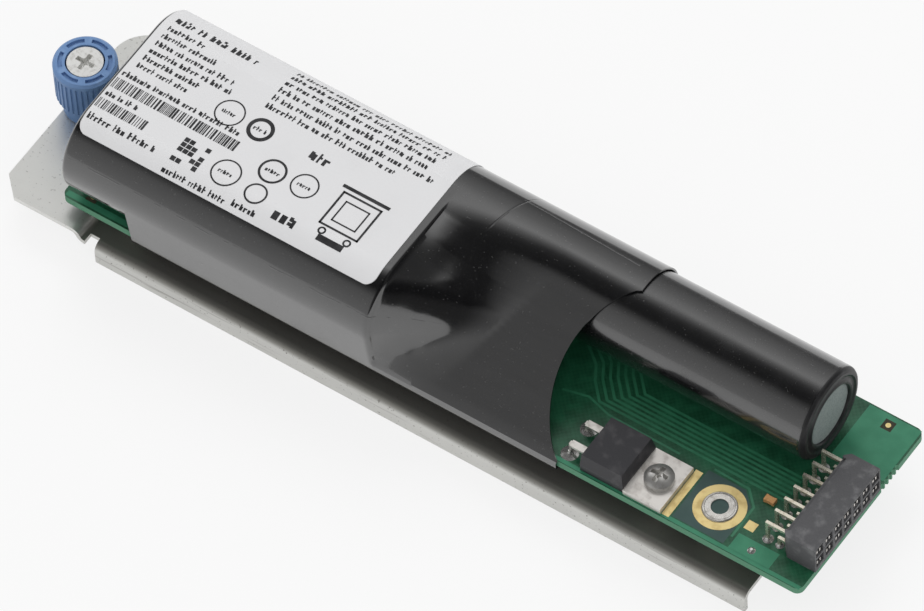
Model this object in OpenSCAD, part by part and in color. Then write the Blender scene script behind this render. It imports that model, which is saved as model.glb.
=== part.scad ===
// Battery module for a disk-array controller: three cylindrical cells under black shrink
// sleeve on a long circuit board, carried by a folded steel bracket with a captive thumbscrew.
// Millimetres. X runs along the module towards the connector, Y from the front edge (the short
// row's side) to the back, Z up from the plane that the bracket's lips stand on.

/* [Circuit board] */
// Length of the circuit board
board_l = 160; // [158:1:200]
// Width of the circuit board
board_w = 40.5; // [39:0.5:60]
// Thickness of the circuit board
board_t = 1.6; // [1:0.1:2.4]
// Radius of the board's corners
board_corner_r = 1.5; // [0.5:0.5:4]
// Height of the gap between bracket floor and board
board_gap = 5; // [4:0.5:10]
// Radius of the half holes left where the board broke from its panel
bite_r = 0.4; // [0.2:0.1:0.8]
// Number of those half holes
bite_n = 5; // [3:1:7]
// Spacing of those half holes
bite_pitch = 1.2; // [0.9:0.1:1.6]
// Distance of the half holes from the board's back edge
bite_from_back = 9; // [8:1:14]

/* [Bracket] */
// Thickness of the bracket's sheet steel
sheet_t = 1; // [0.8:0.1:1.5]
// Height of the channel, from the standing plane to the floor's top
channel_h = 5; // [3.5:0.5:10]
// Distance that the bracket stands out beyond the board's back edge
bracket_back_out = 0.9; // [0.7:0.1:4]
// Distance that the bracket stands out beyond the board's front edge
bracket_front = 2.6; // [2.4:0.1:4]
// Inside radius of the bracket's bends
bend_in_r = 1; // [0.5:0.1:1.5]
// Distance from the board's left edge to the start of the lips
lip_start = 8.5; // [8:0.5:12]
// Distance of the floor's right end from the board's right edge
floor_short = 10.2; // [8:0.2:15]
// Distance that the tab stands out beyond the board's left edge
tab_out = 13; // [11:0.5:20]
// Step up from the floor to the tab
tab_step = 2; // [1:0.25:2.5]
// Width of the relief slot between step and lip
relief_w = 2.1; // [1:0.1:2.5]
// Chamfer on the tab's front corner
tab_chamfer = 3.8; // [1:0.2:8]
// Radius of the tab's back corner
tab_corner_r = 7; // [2:0.5:12]

/* [Standoffs] */
// Distance of the left standoffs from the board's left edge
standoff_left = 11; // [10:0.5:13]
// Distance of the right standoffs from the board's right edge
standoff_right = 21.7; // [20:0.1:23]
// Distance of the standoffs from the board's front and back edges
standoff_inset = 7.3; // [6.5:0.1:8]
// Outer radius of the standoffs
standoff_r = 3.1; // [2.8:0.1:3.4]
// Radius of the standoffs' through bore
standoff_bore_r = 1.65; // [1.2:0.05:1.8]
// Radius of the spigots that pass through board and floor
spigot_r = 2.4; // [2:0.1:2.6]
// Height of the rolled-over rims
rim_h = 0.3; // [0.2:0.1:0.6]

/* [Cells] */
// Diameter of a cell's bare can
can_d = 18; // [16:0.5:20]
// Length of a cell over its positive cap
cell_l = 65; // [60:1:68]
// Gap between the bare cans of the two cells that lie side by side
cell_space = 2.7; // [2:0.1:4]
// Distance of the middle of that pair from the board's front edge
pair_y = 18.35; // [18:0.05:20]
// Distance of the pair's left end from the board's left edge
pair_x = 3; // [2:0.5:4]
// Gap along the back row between its two cells
row_gap = 14.2; // [12:0.2:15]
// Wall of the film round each cell
wrap_t = 0.15; // [0.1:0.05:0.3]
// Radius of the opening in the film's folded ends
wrap_mouth_r = 6; // [5:0.5:7]
// Radius of the film's folded edges
wrap_fold_r = 1; // [0.6:0.1:1.4]
// Thickness of the foam between cells and board
foam_t = 1; // [0.6:0.1:2]

/* [Main sleeve] */
// Wall of the shrink sleeve
sleeve_t = 0.55; // [0.3:0.05:0.8]
// Distance that the sleeve stands out over the pair's left end
sleeve_over = 0.9; // [0.6:0.1:1.5]
// Distance from the board's left edge to where the sleeve goes round the board
skirt_start = 16; // [15.5:0.5:20]
// Length of the third cell that the sleeve covers
sleeve_grip = 26.8; // [20:0.2:30]
// Radius of the curved end of the skirt
skirt_cut_r = 24; // [20:1:30]
// Depth of that curve from the sleeve's end
skirt_cut_depth = 7.6; // [5:0.2:12]
// Distance from the pair's end to where the sleeve is down on the board's front edge
fold_front = 14; // [8:0.5:18]
// Distance from the pair's end to where the sleeve is down on the back row
fold_back = 24; // [12:0.5:28]

/* [Label] */
// Length of the label along the cells
label_l = 64.6; // [50:0.2:65]
// Thickness of the label
label_t = 0.12; // [0.08:0.02:0.2]
// Angle that the label wraps down over the front cell
label_front_a = 32; // [10:1:60]
// Angle that the label stops short of the flat side behind the back cell
label_back_short = 8; // [2:1:30]
// Radius of the label's corners
label_corner_r = 2; // [0.5:0.5:4]

/* [Thumbscrew] */
// Distance of the screw from the board's left edge
screw_out = 9.4; // [8:0.1:9.5]
// Distance of the screw from the board's front edge
screw_y = 21.7; // [15:0.1:25]
// Radius of the knob
knob_r = 6; // [5:0.1:6.2]
// Height of the knob above the tab
knob_h = 13.5; // [11:0.5:16]
// Radius of the plain collar under the grip
collar_r = 4.9; // [4:0.1:5.2]
// Height of the plain collar
collar_h = 3; // [2:0.25:4]
// Number of grip grooves
groove_n = 36; // [24:1:40]
// Radius of the grip grooves
groove_r = 0.28; // [0.2:0.02:0.32]
// Radius of the screw's head
head_r = 3.4; // [3:0.1:3.6]
// Radius of the screw's thread, over its crests
thread_r = 1.74; // [1.5:0.02:2]
// Radius of the screw's neck
neck_r = 1.35; // [1.1:0.05:1.4]
// Lift that the captive screw has in the tab
lift = 1.4; // [0.8:0.1:1.6]

/* [Power resistor] */
// Distance of the resistor's body from the board's left edge
res_x = 113; // [111:0.5:114]
// Distance of the resistor's middle line from the board's front edge
res_y = 5.75; // [5.6:0.05:6.5]
// Length of the moulded body
res_body_l = 9.2; // [8.5:0.1:9.6]
// Width of the moulded body
res_body_w = 10.5; // [10:0.1:10.7]
// Height of the moulded body
res_body_h = 4.5; // [4.2:0.1:4.8]
// Length of the metal flag beyond the body
flag_l = 8; // [6:0.1:8.2]
// Thickness of the metal flag
flag_t = 1.3; // [1:0.1:1.4]
// Distance between the two leads
lead_pitch = 5.08; // [5:0.01:5.2]
// Radius of the flag screw's shank
flag_screw_r = 1.5; // [1.25:0.05:1.5]
// Radius of the flag screw's head
flag_head_r = 2.8; // [2.5:0.1:3]

/* [Connector] */
// Distance between neighbouring contacts
contact_pitch = 3; // [2.8:0.1:3.1]
// Contacts in each of the two rows
contact_n = 7; // [5:1:7]
// Depth of the housing along the module
housing_l = 7; // [6.5:0.1:7.5]
// Height of the housing
housing_h = 6.6; // [6.4:0.1:7.2]
// Distance of the housing's front end from the board's front edge
housing_y = 4.8; // [3:0.1:6]
// Width and height of each socket
socket_w = 2.3; // [2:0.1:2.4]
// Distance that the housing stands out beyond the board's right edge
housing_out = 0.2; // [0:0.1:1]
// Thickness of a contact's wire
wire_t = 0.6; // [0.5:0.05:0.64]

/* [Hidden] */
$fn = 96;
fine_fn = 32;
eps = 0.01;
slip = 0.05;

board_z = channel_h + board_gap;
board_top = board_z + board_t;
floor_end = board_l - floor_short;
bend_out_r = bend_in_r + sheet_t;
step_a = acos(1 - tab_step / (2 * bend_in_r + sheet_t));
step_l = (2 * bend_in_r + sheet_t) * sin(step_a);
step_end = lip_start - relief_w;
tab_end = step_end - step_l;
tab_top = channel_h + tab_step;
bracket_back = board_w + bracket_back_out;
bracket_w = bracket_back + bracket_front;

standoff_xs = [standoff_left, board_l - standoff_right];
standoff_ys = [standoff_inset, board_w - standoff_inset];

can_r = can_d / 2;
wrap_gap = 0.18;
wrap_in_r = can_r + wrap_gap;
wrap_r = wrap_in_r + wrap_t;
end_gap = 0.05;
cap_h = 0.8;
cap_r = 4.2;
can_edge_r = 0.8;
bead_r = 0.9;
bead_from_end = 4;
axis_z = board_top + foam_t + wrap_r;
cell_pitch = can_d + cell_space;
front_y = pair_y - cell_pitch / 2;
back_y = pair_y + cell_pitch / 2;
pair_end = pair_x + cell_l;
third_x = pair_end + row_gap;
third_end = third_x + cell_l;
strip_t = 0.15;
strip_w = 8;
tail_w = 5;
foot_l = 3;
disc_t = 0.2;
negative_x = pair_end + end_gap + wrap_t + 0.02;

sleeve_in_r = wrap_r + slip;
sleeve_out_r = sleeve_in_r + sleeve_t;
sleeve_x = pair_x - sleeve_over;
pair_cover = negative_x + strip_t + end_gap;
sleeve_end = third_x + sleeve_grip;
label_x = pair_x - 0.1;
mouth_in = 2;

screw_x = -screw_out;
knob_gap = 0.1;
knob_z = tab_top + knob_gap;
knob_top = knob_z + knob_h;
head_h = 2;
head_sink = 0.2;
shank_r = 2.2;
washer_t = 0.6;
washer_r = 3.4;
thread_top = tab_top - sheet_t - lift - slip - washer_t;
tip_z = 0.3;
tab_hole_r = thread_r + 0.35;

flag_end = res_x + res_body_l + flag_l;
flag_hole_x = flag_end - 3.7;
housing_w = contact_n * contact_pitch;
housing_x = board_l + housing_out - housing_l;
row_z = [board_top + 2.2, board_top + 5.1];
pin_x = [housing_x - 1.5, housing_x - 4];
pin_hole_r = wire_t * 0.5 * sqrt(2) + 0.1;
pin_below = 1.2;

part_left = screw_x - knob_r;
part_right = board_l + housing_out;
part_front = min(front_y - sleeve_out_r, -bracket_front);
part_back = max(bracket_back, board_w + slip + sleeve_t);
origin_x = (part_left + part_right) / 2;
origin_y = (part_front + part_back) / 2;

// ---- shared forms ----

// Puts board coordinates into the part's frame, whose origin is the bottom centre of its box.
module placed() translate([-origin_x, -origin_y, 0]) children();

// Extrudes an outline drawn as (y, z) from x0 to x1.
module along_x(x0, x1) translate([x0, 0, 0]) rotate([90, 0, 90]) linear_extrude(x1 - x0) children();

// Turns an outline drawn as (radius, distance along the axis) about a cell's axis.
module on_cell(x, y) translate([x, y, axis_z]) rotate([0, 90, 0]) rotate_extrude() children();

// A square with an arc at each corner.
module round_rect(w, h, r) {
    translate([r, 0]) square([w - 2 * r, h]);
    translate([0, r]) square([w, h - 2 * r]);
    for (x = [r, w - r], y = [r, h - r]) translate([x, y]) circle(r, $fn = fine_fn);
}

// ---- bracket ----

module tab_outline() {
    left = -tab_out;
    difference() {
        union() {
            translate([left, -bracket_front]) square([tab_end + tab_out, bracket_w - tab_corner_r]);
            translate([left + tab_corner_r, bracket_back - tab_corner_r])
                square([tab_end - left - tab_corner_r, tab_corner_r]);
            translate([left + tab_corner_r, bracket_back - tab_corner_r]) circle(tab_corner_r);
        }
        translate([left, -bracket_front]) rotate(45)
            square(tab_chamfer * sqrt(2), center = true);
        translate([screw_x, screw_y]) circle(tab_hole_r);
    }
}

// One of the two opposite bends that make the step between tab and floor.
module step_bend() translate([0, bracket_back, 0]) rotate([90, 0, 0])
    rotate_extrude(angle = step_a) translate([bend_in_r, 0]) square([sheet_t, bracket_w]);

module lip() {
    translate([lip_start, bend_out_r, channel_h - bend_out_r]) rotate([90, 0, 90])
        translate([0, 0, 0]) rotate(90) rotate_extrude(angle = 90)
            translate([bend_in_r, 0]) square([sheet_t, floor_end - lip_start]);
    translate([lip_start, 0, 0]) cube([floor_end - lip_start, sheet_t, channel_h - bend_out_r]);
}

module mounting_bracket() color("gainsboro") placed() {
    translate([0, 0, tab_top - sheet_t]) linear_extrude(sheet_t) tab_outline();
    translate([tab_end, 0, tab_top - bend_out_r]) rotate([0, step_a - 90, 0]) step_bend();
    translate([step_end, 0, channel_h + bend_in_r]) rotate([0, step_a + 90, 0]) step_bend();
    difference() {
        translate([step_end, bend_out_r - bracket_front, channel_h - sheet_t])
            cube([floor_end - step_end, bracket_w - 2 * bend_out_r, sheet_t]);
        for (x = standoff_xs, y = standoff_ys)
            translate([x, y, 0]) cylinder(r = spigot_r + slip, h = board_z);
    }
    translate([0, -bracket_front, 0]) lip();
    translate([0, bracket_back, 0]) mirror([0, 1, 0]) lip();
}

// ---- board ----

module board_standoffs() color("silver") placed()
    for (x = standoff_xs, y = standoff_ys) translate([x, y, 0]) difference() {
        union() {
            translate([0, 0, channel_h - sheet_t - rim_h])
                cylinder(r = standoff_r, h = rim_h);
            translate([0, 0, channel_h - sheet_t - eps])
                cylinder(r = spigot_r, h = board_top - channel_h + sheet_t + 2 * eps);
            translate([0, 0, channel_h]) cylinder(r = standoff_r, h = board_gap);
            translate([0, 0, board_top]) cylinder(r = standoff_r - 0.1, h = rim_h);
        }
        cylinder(r = standoff_bore_r, h = board_top + 1);
    }

// Places its children at each contact of one row of the connector.
module each_contact() for (i = [0 : contact_n - 1])
    translate([0, housing_y + (i + 0.5) * contact_pitch, 0]) children();

module circuit_board() color("seagreen") placed() difference() {
    translate([0, 0, board_z]) linear_extrude(board_t) round_rect(board_l, board_w, board_corner_r);
    for (x = standoff_xs, y = standoff_ys)
        translate([x, y, 0]) cylinder(r = spigot_r + slip, h = board_top + 1);
    for (i = [0 : bite_n - 1])
        translate([board_l, board_w - bite_from_back - i * bite_pitch, 0])
            cylinder(r = bite_r, h = board_top + 1, $fn = fine_fn);
    translate([flag_hole_x, res_y, 0]) cylinder(r = flag_screw_r + 0.1, h = board_top + 1);
    for (s = [-1, 1]) translate([res_x - 3.6, res_y + s * lead_pitch / 2, 0])
        cylinder(r = 0.6, h = board_top + 1, $fn = fine_fn);
    for (x = pin_x) each_contact() translate([x, 0, 0])
        cylinder(r = pin_hole_r, h = board_top + 1, $fn = fine_fn);
}

// ---- cells ----

// A steel can with a rolled bead, its crimped rim and its cap at the far end of the axis.
module cell() rotate_extrude() difference() {
    rim_l = cell_l - cap_h;
    union() {
        translate([0, can_edge_r]) square([can_r, rim_l - 2 * can_edge_r]);
        square([can_r - can_edge_r, rim_l]);
        for (z = [can_edge_r, rim_l - can_edge_r])
            translate([can_r - can_edge_r, z]) circle(can_edge_r, $fn = fine_fn);
        square([cap_r - 0.6, cell_l]);
    }
    translate([can_r + 0.3, cell_l - bead_from_end]) circle(bead_r, $fn = fine_fn);
    translate([cap_r, rim_l - 0.5]) square([2.4, 1]);
    translate([-can_r, 0]) square([can_r, cell_l]);
}

// The pair has its caps at the left, the third cell at the right.
module cell_left_cap(x, y) translate([x + cell_l, y, axis_z]) rotate([0, -90, 0]) cell();
module cell_front() color("lightsteelblue") placed() cell_left_cap(pair_x, front_y);
module cell_back_left() color("lightsteelblue") placed() cell_left_cap(pair_x, back_y);
module cell_back_right() color("lightsteelblue") placed()
    translate([third_x, back_y, axis_z]) rotate([0, 90, 0]) cell();

// Half section of an end of the film at z = 0: it turns in with a round edge to the mouth.
module folded_edge() {
    flat_end = wrap_r - wrap_fold_r;
    translate([wrap_mouth_r, -wrap_t]) square([flat_end - wrap_mouth_r, wrap_t]);
    translate([flat_end, -wrap_fold_r]) intersection() {
        difference() {
            circle(wrap_fold_r, $fn = fine_fn);
            circle(wrap_fold_r - wrap_t, $fn = fine_fn);
        }
        square(wrap_fold_r);
    }
}

// A tube of film from z0 to z1 whose far end folds in to the mouth, and its near end if asked.
module film(z0, z1, folded_start) {
    start = z0 + (folded_start ? wrap_fold_r : 0);
    translate([wrap_in_r, start]) square([wrap_t, z1 - wrap_fold_r - start]);
    if (folded_start) translate([0, z0]) mirror([0, 1]) folded_edge();
    translate([0, z1]) folded_edge();
}

ring_t = 0.3;
film_near = cap_h - ring_t - 2 * end_gap - wrap_t;
module cell_film(y) on_cell(pair_x, y) film(film_near, cell_l + end_gap + wrap_t, true);
module cell_wrap_front() color("dimgray") placed() cell_film(front_y);
module cell_wrap_back() color("dimgray") placed() cell_film(back_y);

// The paper ring round each cap, under the film's fold.
module paper_ring(x, y) on_cell(x, y)
    translate([cap_r + 0.1, 0]) square([can_r - 0.6 - cap_r, ring_t]);
module insulator_rings() color("burlywood") placed() {
    for (y = [front_y, back_y]) paper_ring(pair_x + cap_h - ring_t - end_gap, y);
    paper_ring(third_end - cap_h + end_gap, back_y);
}

// Where the third cell's end stack lies: strip on the cap, disc on the strip, film fold outside.
end_strip_x = third_end + end_gap;
end_disc_x = end_strip_x + strip_t + 0.02;
end_film_x = end_disc_x + disc_t + 0.02;

module end_sleeve() color([0.09, 0.09, 0.1]) placed()
    on_cell(third_x, back_y) film(-end_gap, end_film_x + wrap_t - third_x, false);

module end_disc() color("slategray") placed()
    on_cell(end_disc_x, back_y) square([wrap_r - wrap_fold_r - end_gap, disc_t]);

// ---- strips that join the cells ----

// A flat strip across the ends of the pair, with a tail down to the board and its foot.
module end_plate(x) translate([x, front_y - strip_w / 2, axis_z - strip_w / 2])
    cube([strip_t, cell_pitch + strip_w, strip_w]);

// The strip's way down to the board from height z, ending in a foot.
module tail(x, z) translate([x, pair_y - tail_w / 2, board_top]) {
    cube([strip_t, tail_w, z - board_top]);
    cube([foot_l, tail_w, strip_t]);
}

// This one runs back along the valley under the cells, inside the sleeve, to reach the board.
module positive_strip() color("silver") placed() {
    x = pair_x - end_gap - strip_t;
    valley_z = axis_z - wrap_r + 2.1;
    down_x = skirt_start + 2;
    end_plate(x);
    translate([x, pair_y - tail_w / 2, valley_z]) cube([strip_t, tail_w, axis_z - valley_z]);
    translate([x, pair_y - tail_w / 2, valley_z]) cube([down_x + strip_t - x, tail_w, strip_t]);
    tail(down_x, valley_z + strip_t);
}

module negative_strip() color("silver") placed() {
    far_x = third_x - 2 * end_gap - strip_t;
    end_plate(negative_x);
    tail(negative_x, axis_z);
    translate([negative_x, back_y - tail_w / 2, axis_z + strip_w / 2 - strip_t])
        cube([far_x + strip_t - negative_x, tail_w, strip_t]);
    translate([far_x, back_y - tail_w / 2, axis_z - strip_w / 2])
        cube([strip_t, tail_w, strip_w]);
}

// The third cell's strip: across its cap, round the rim and back under the film.
module end_strip() color("silver") placed() {
    run_r = can_r + 0.02;
    run_t = wrap_gap - 0.04;
    run_a = 30;
    turn_r = wrap_r - wrap_fold_r;
    start_x = third_x - 2;
    far = end_strip_x - start_x;
    turn_x = far - cap_h - 0.1;
    translate([end_strip_x, back_y - tail_w / 2, axis_z - turn_r + 0.5])
        cube([strip_t, tail_w, turn_r + 2.5]);
    translate([start_x, back_y, axis_z]) rotate([0, 90, 0]) rotate(-run_a / 2)
        rotate_extrude(angle = run_a) polygon([[run_r, 0], [run_r + run_t, 0],
            [run_r + run_t, turn_x], [turn_r, far + strip_t], [turn_r - 1, far + strip_t],
            [turn_r - 1, far], [turn_r - 0.1, far], [run_r, turn_x - 0.1]]);
    translate([start_x, back_y - 2, board_top])
        cube([strip_t, 4, axis_z - run_r - board_top]);
    translate([start_x - foot_l, back_y - 2, board_top]) cube([foot_l + strip_t, 4, strip_t]);
}

// ---- foam ----

// A foam strip under a cell, hollowed to the cell's round.
module foam_pad(x, y, l) difference() {
    translate([x, y - 4, board_top]) cube([l, 8, foam_t + 0.6]);
    translate([x - 1, y, axis_z]) rotate([0, 90, 0]) cylinder(r = wrap_r + 0.02, h = l + 2);
}

module foam_pads() color("darkslategray") placed() {
    for (y = [front_y, back_y]) foam_pad(pair_x + 15, y, cell_l - 25);
    foam_pad(third_x + 10, back_y, cell_l - 30);
}

module cell_spacer() color("darkslategray") placed() difference() {
    translate([pair_x + 5, pair_y - cell_pitch / 2 + can_r, axis_z - 4])
        cube([cell_l - 10, cell_pitch - 2 * can_r, 8]);
    for (y = [front_y, back_y]) translate([pair_x, y, axis_z]) rotate([0, 90, 0])
        cylinder(r = wrap_r + 0.02, h = cell_l);
}

// ---- main sleeve ----

// Section round the two cells, g outside the cells' film.
module pair_section(g) {
    r = wrap_r + g;
    for (y = [front_y, back_y]) translate([y, axis_z]) circle(r);
    translate([front_y, axis_z - r]) square([cell_pitch, 2 * r]);
}

// The point where a line from p touches a round of radius r about c.
function touch_point(c, r, p, side) = let (v = p - c, a = atan2(v[1], v[0]) + side * acos(r / norm(v)))
    c + r * [cos(a), sin(a)];

// Section round the back row and the board, with the flat skirt between them.
module skirt_section(g) {
    r = wrap_r + g;
    centre = [back_y, axis_z];
    front_top = [-g, board_top + g];
    back_top = [board_w + g, board_top + g];
    translate(centre) circle(r);
    polygon([[-g, board_z - g], front_top, touch_point(centre, r, front_top, -1), centre,
        touch_point(centre, r, back_top, 1), back_top, [board_w + g, board_z - g]]);
}

// What the front cell adds to that section.
module front_section(g) {
    r = wrap_r + g;
    corner = [-g, board_z - g];
    centre = [front_y, axis_z];
    polygon([corner, touch_point(centre, r, corner, -1), centre, [front_y, board_z - g]]);
}

// The solid round the pair alone, with the edge of its left end rounded by e.
module pair_end_solid(g, x0, x1, e) {
    r = wrap_r + g;
    for (y = [front_y, back_y]) on_cell(x0, y) {
        translate([0, e]) square([r, x1 - x0 - e]);
        square([r - e, x1 - x0]);
        translate([r - e, e]) intersection() {
            circle(e, $fn = fine_fn);
            translate([0, -e]) square(e);
        }
    }
    translate([x0, back_y, axis_z]) rotate([90, 0, 0]) linear_extrude(cell_pitch) {
        translate([e, -r]) square([x1 - x0 - e, 2 * r]);
        translate([0, -r + e]) square([x1 - x0, 2 * (r - e)]);
        for (s = [-1, 1]) translate([e, s * (r - e)]) circle(e, $fn = fine_fn);
    }
}

// Where the sleeve comes down from the front cell's end to the skirt, along a slanting fold.
module shoulder(g) hull() {
    start_x = pair_cover + g;
    front_x = pair_end + fold_front;
    front_top = [-g, board_top + g];
    touch = touch_point([back_y, axis_z], wrap_r + g, front_top, -1);
    translate([start_x - 0.3, front_y, axis_z]) rotate([0, 90, 0])
        cylinder(r = wrap_r + g - 0.02, h = 0.2);
    along_x(start_x - 0.2, front_x) translate([0.1 - g, board_z + 0.1]) square([1, board_t + g - 0.2]);
    along_x(start_x, pair_end + fold_back) polygon([touch + [0.1, -0.1], touch + [1, -1.5],
        touch + [0.1, -1.5]]);
}

// The solid that the sleeve encloses, from x0 over the pair, from board_x over the board.
module sleeve_solid(g, x0, board_x, x1, e) {
    pair_end_solid(g, x0, pair_cover + g, e);
    along_x(board_x, x1) skirt_section(g);
    along_x(board_x, pair_cover + g) front_section(g);
    shoulder(g);
}

// Angle from the top at which the sleeve leaves the back row for the board's back edge.
back_touch = touch_point([back_y, axis_z], sleeve_out_r,
    [board_w + slip + sleeve_t, board_top + slip + sleeve_t], 1) - [back_y, axis_z];
label_back_a = atan2(back_touch[0], back_touch[1]) - label_back_short;

// Slope of the skirt, from the board's front edge up to its touch on the back row.
skirt_rise = axis_z - board_top;
skirt_a = atan2(skirt_rise, back_y) + asin(wrap_r / norm([back_y, skirt_rise]));
skirt_mid = 17;

module main_sleeve() color([0.09, 0.09, 0.1]) placed() difference() {
    sleeve_solid(slip + sleeve_t, sleeve_x, skirt_start, sleeve_end, sleeve_t);
    sleeve_solid(slip, sleeve_x + sleeve_t, skirt_start - eps, sleeve_end + 1, slip);
    along_x(sleeve_x - 1, sleeve_x + 1) pair_section(-mouth_in);
    translate([sleeve_end - skirt_cut_depth + skirt_cut_r, skirt_mid * cos(skirt_a),
               board_top + skirt_mid * sin(skirt_a)])
        rotate([skirt_a, 0, 0]) cylinder(r = skirt_cut_r, h = 100, center = true);
}

module label() color("whitesmoke") placed() intersection() {
    near = slip + sleeve_t + 0.01;
    along_x(label_x, label_x + label_l) difference() {
        pair_section(near + label_t);
        pair_section(near);
        translate([front_y - sleeve_out_r * sin(label_front_a) - 50, 0]) square([50, 100]);
        square([100, axis_z + sleeve_out_r * cos(label_back_a)]);
    }
    translate([label_x, front_y - sleeve_out_r * sin(label_front_a) - eps, 0])
        linear_extrude(100) round_rect(label_l, cell_pitch + 3 * wrap_r, label_corner_r);
}

// ---- connector ----

module connector_housing() color([0.16, 0.16, 0.17]) placed() difference() {
    translate([housing_x, housing_y, board_top]) cube([housing_l, housing_w, housing_h]);
    for (z = row_z) each_contact() {
        translate([housing_x + 1.6, -socket_w / 2, z - socket_w / 2])
            cube([housing_l, socket_w, socket_w]);
        translate([housing_x - 1, -wire_t / 2 - slip, z - wire_t / 2 - slip])
            cube([3, wire_t + 2 * slip, wire_t + 2 * slip]);
    }
    for (s = [0, 1]) translate([housing_x, housing_y + s * housing_w, 0]) rotate(45)
        cube([1.4, 1.4, 100], center = true);
    translate([housing_x - eps, housing_y + 1.4, board_top + housing_h - 0.7])
        cube([0.8, housing_w - 2.8, 1]);
}

// One contact: a fork in its socket, a wire out of the back of the housing and a pin down
// through the board.
module contact(row) {
    z = row_z[row];
    x = pin_x[row];
    fork_x = housing_x + 2;
    translate([x - wire_t / 2, -wire_t / 2, z - wire_t / 2])
        cube([fork_x + 0.8 - x + wire_t / 2, wire_t, wire_t]);
    translate([x - wire_t / 2, -wire_t / 2, board_z - pin_below])
        cube([wire_t, wire_t, z - board_z + pin_below]);
    translate([fork_x, -0.8, z - 0.65]) cube([0.8, 1.6, 1.3]);
    for (s = [-1, 1]) translate([fork_x, -0.8, z + s * 0.5 - 0.15]) cube([4.2, 1.6, 0.3]);
}

module contacts_upper() color("gold") placed() each_contact() contact(1);
module contacts_lower() color("gold") placed() each_contact() contact(0);

// ---- power resistor ----

module resistor_body() color([0.13, 0.13, 0.14]) placed() translate([res_x, res_y, board_top])
    difference() {
        split_h = 1.9;
        draft = 0.45;
        intersection() {
            along_x(0, res_body_l) polygon([[-res_body_w / 2 + 0.1, 0], [res_body_w / 2 - 0.1, 0],
                [res_body_w / 2, split_h], [res_body_w / 2 - draft, res_body_h],
                [-res_body_w / 2 + draft, res_body_h], [-res_body_w / 2, split_h]]);
            translate([0, res_body_w, 0]) rotate([90, 0, 0]) linear_extrude(2 * res_body_w)
                polygon([[0, 0], [res_body_l, 0], [res_body_l, split_h],
                    [res_body_l - 0.5, res_body_h], [0.2, res_body_h], [0, split_h]]);
        }
        translate([0.8, -4.2, -1]) cube([res_body_l, 8.4, flag_t + 1]);
        for (s = [-1, 1]) translate([-1, s * lead_pitch / 2 - 0.7, 2.15]) cube([2, 1.4, 0.5]);
    }

module resistor_flag() color("silver") placed() translate([res_x, res_y, board_top]) {
    wide = 10.8;
    difference() {
        union() {
            translate([0.8, -4.2, 0]) cube([res_body_l, 8.4, flag_t]);
            translate([res_body_l, -wide / 2, 0]) cube([flag_l, wide, flag_t]);
        }
        translate([flag_hole_x - res_x, 0, -1]) cylinder(r = 1.9, h = flag_t + 2);
    }
}

// A wide shoulder out of the body, then a narrow leg down through the board.
module resistor_leads() color("silver") placed() translate([res_x, res_y, board_top])
    for (s = [-1, 1]) translate([0, s * lead_pitch / 2, 0]) {
        translate([-3.6, -0.7, 2.15]) cube([4.6, 1.4, 0.5]);
        translate([-3.85, -0.4, -board_t - pin_below]) cube([0.5, 0.8, board_t + pin_below + 2.65]);
    }

// A cross recess for a screwdriver, cut down from z = 0.
module cross_recess(reach, depth) {
    for (a = [0, 90]) rotate(a) translate([-reach, -0.45, -depth]) cube([2 * reach, 0.9, depth + 1]);
    translate([0, 0, -depth - 0.4]) cylinder(r1 = 0.3, r2 = 1.1, h = depth + 1.4, $fn = fine_fn);
}

module resistor_screw() color("silver") placed() translate([flag_hole_x, res_y, board_top + flag_t])
    difference() {
        union() {
            intersection() {
                cylinder(r = flag_head_r, h = 2);
                translate([0, 0, -2.4]) sphere(r = 4.4);
            }
            translate([0, 0, -flag_t - board_t - 3]) cylinder(r = flag_screw_r, h = flag_t + board_t + 3.5);
        }
        translate([0, 0, 2]) cross_recess(1.7, 1.2);
    }

module resistor_nut() color("silver") placed() translate([flag_hole_x, res_y, board_z - 2.4])
    difference() {
        cylinder(r = 5.5 / sqrt(3), h = 2.4, $fn = 6);
        translate([0, 0, -1]) cylinder(r = flag_screw_r + 0.02, h = 5);
    }

module chip_capacitor() color("peru") placed() translate([144.1, 12.5, board_top]) {
    translate([0.35, 0.05, 0.05]) cube([1.4, 1.2, 0.8]);
    for (x = [0, 1.7]) translate([x, 0, 0]) cube([0.4, 1.3, 0.9]);
}

// ---- thumbscrew ----

module thumbscrew_knob() color("steelblue") placed() translate([screw_x, screw_y, knob_z])
    difference() {
        chamfer = 0.5;
        taper_h = 1.2;
        slot_n = 6;
        slot_deep = 0.6;
        rotate_extrude() polygon([[0, 0], [collar_r - 0.4, 0], [collar_r, 0.4],
            [collar_r, collar_h], [knob_r - 0.4, collar_h + taper_h],
            [knob_r, collar_h + taper_h + 0.6], [knob_r, knob_h - chamfer],
            [knob_r - chamfer, knob_h], [0, knob_h]]);
        for (i = [0 : slot_n - 1]) rotate((i + 0.1) * 360 / slot_n)
            rotate_extrude(angle = 0.72 * 360 / slot_n)
                translate([knob_r - 1.75, knob_h - slot_deep]) square([0.8, slot_deep + 1]);
        for (i = [0 : groove_n - 1]) rotate(i * 360 / groove_n)
            translate([knob_r, 0, collar_h - 1]) cylinder(r = groove_r, h = knob_h - collar_h - 0.2, $fn = 16);
        translate([0, 0, -1]) cylinder(r = shank_r + 0.02, h = knob_h + 2);
        translate([0, 0, knob_h - head_sink - head_h]) cylinder(r = head_r + 0.3, h = head_h + 1);
    }

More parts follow.
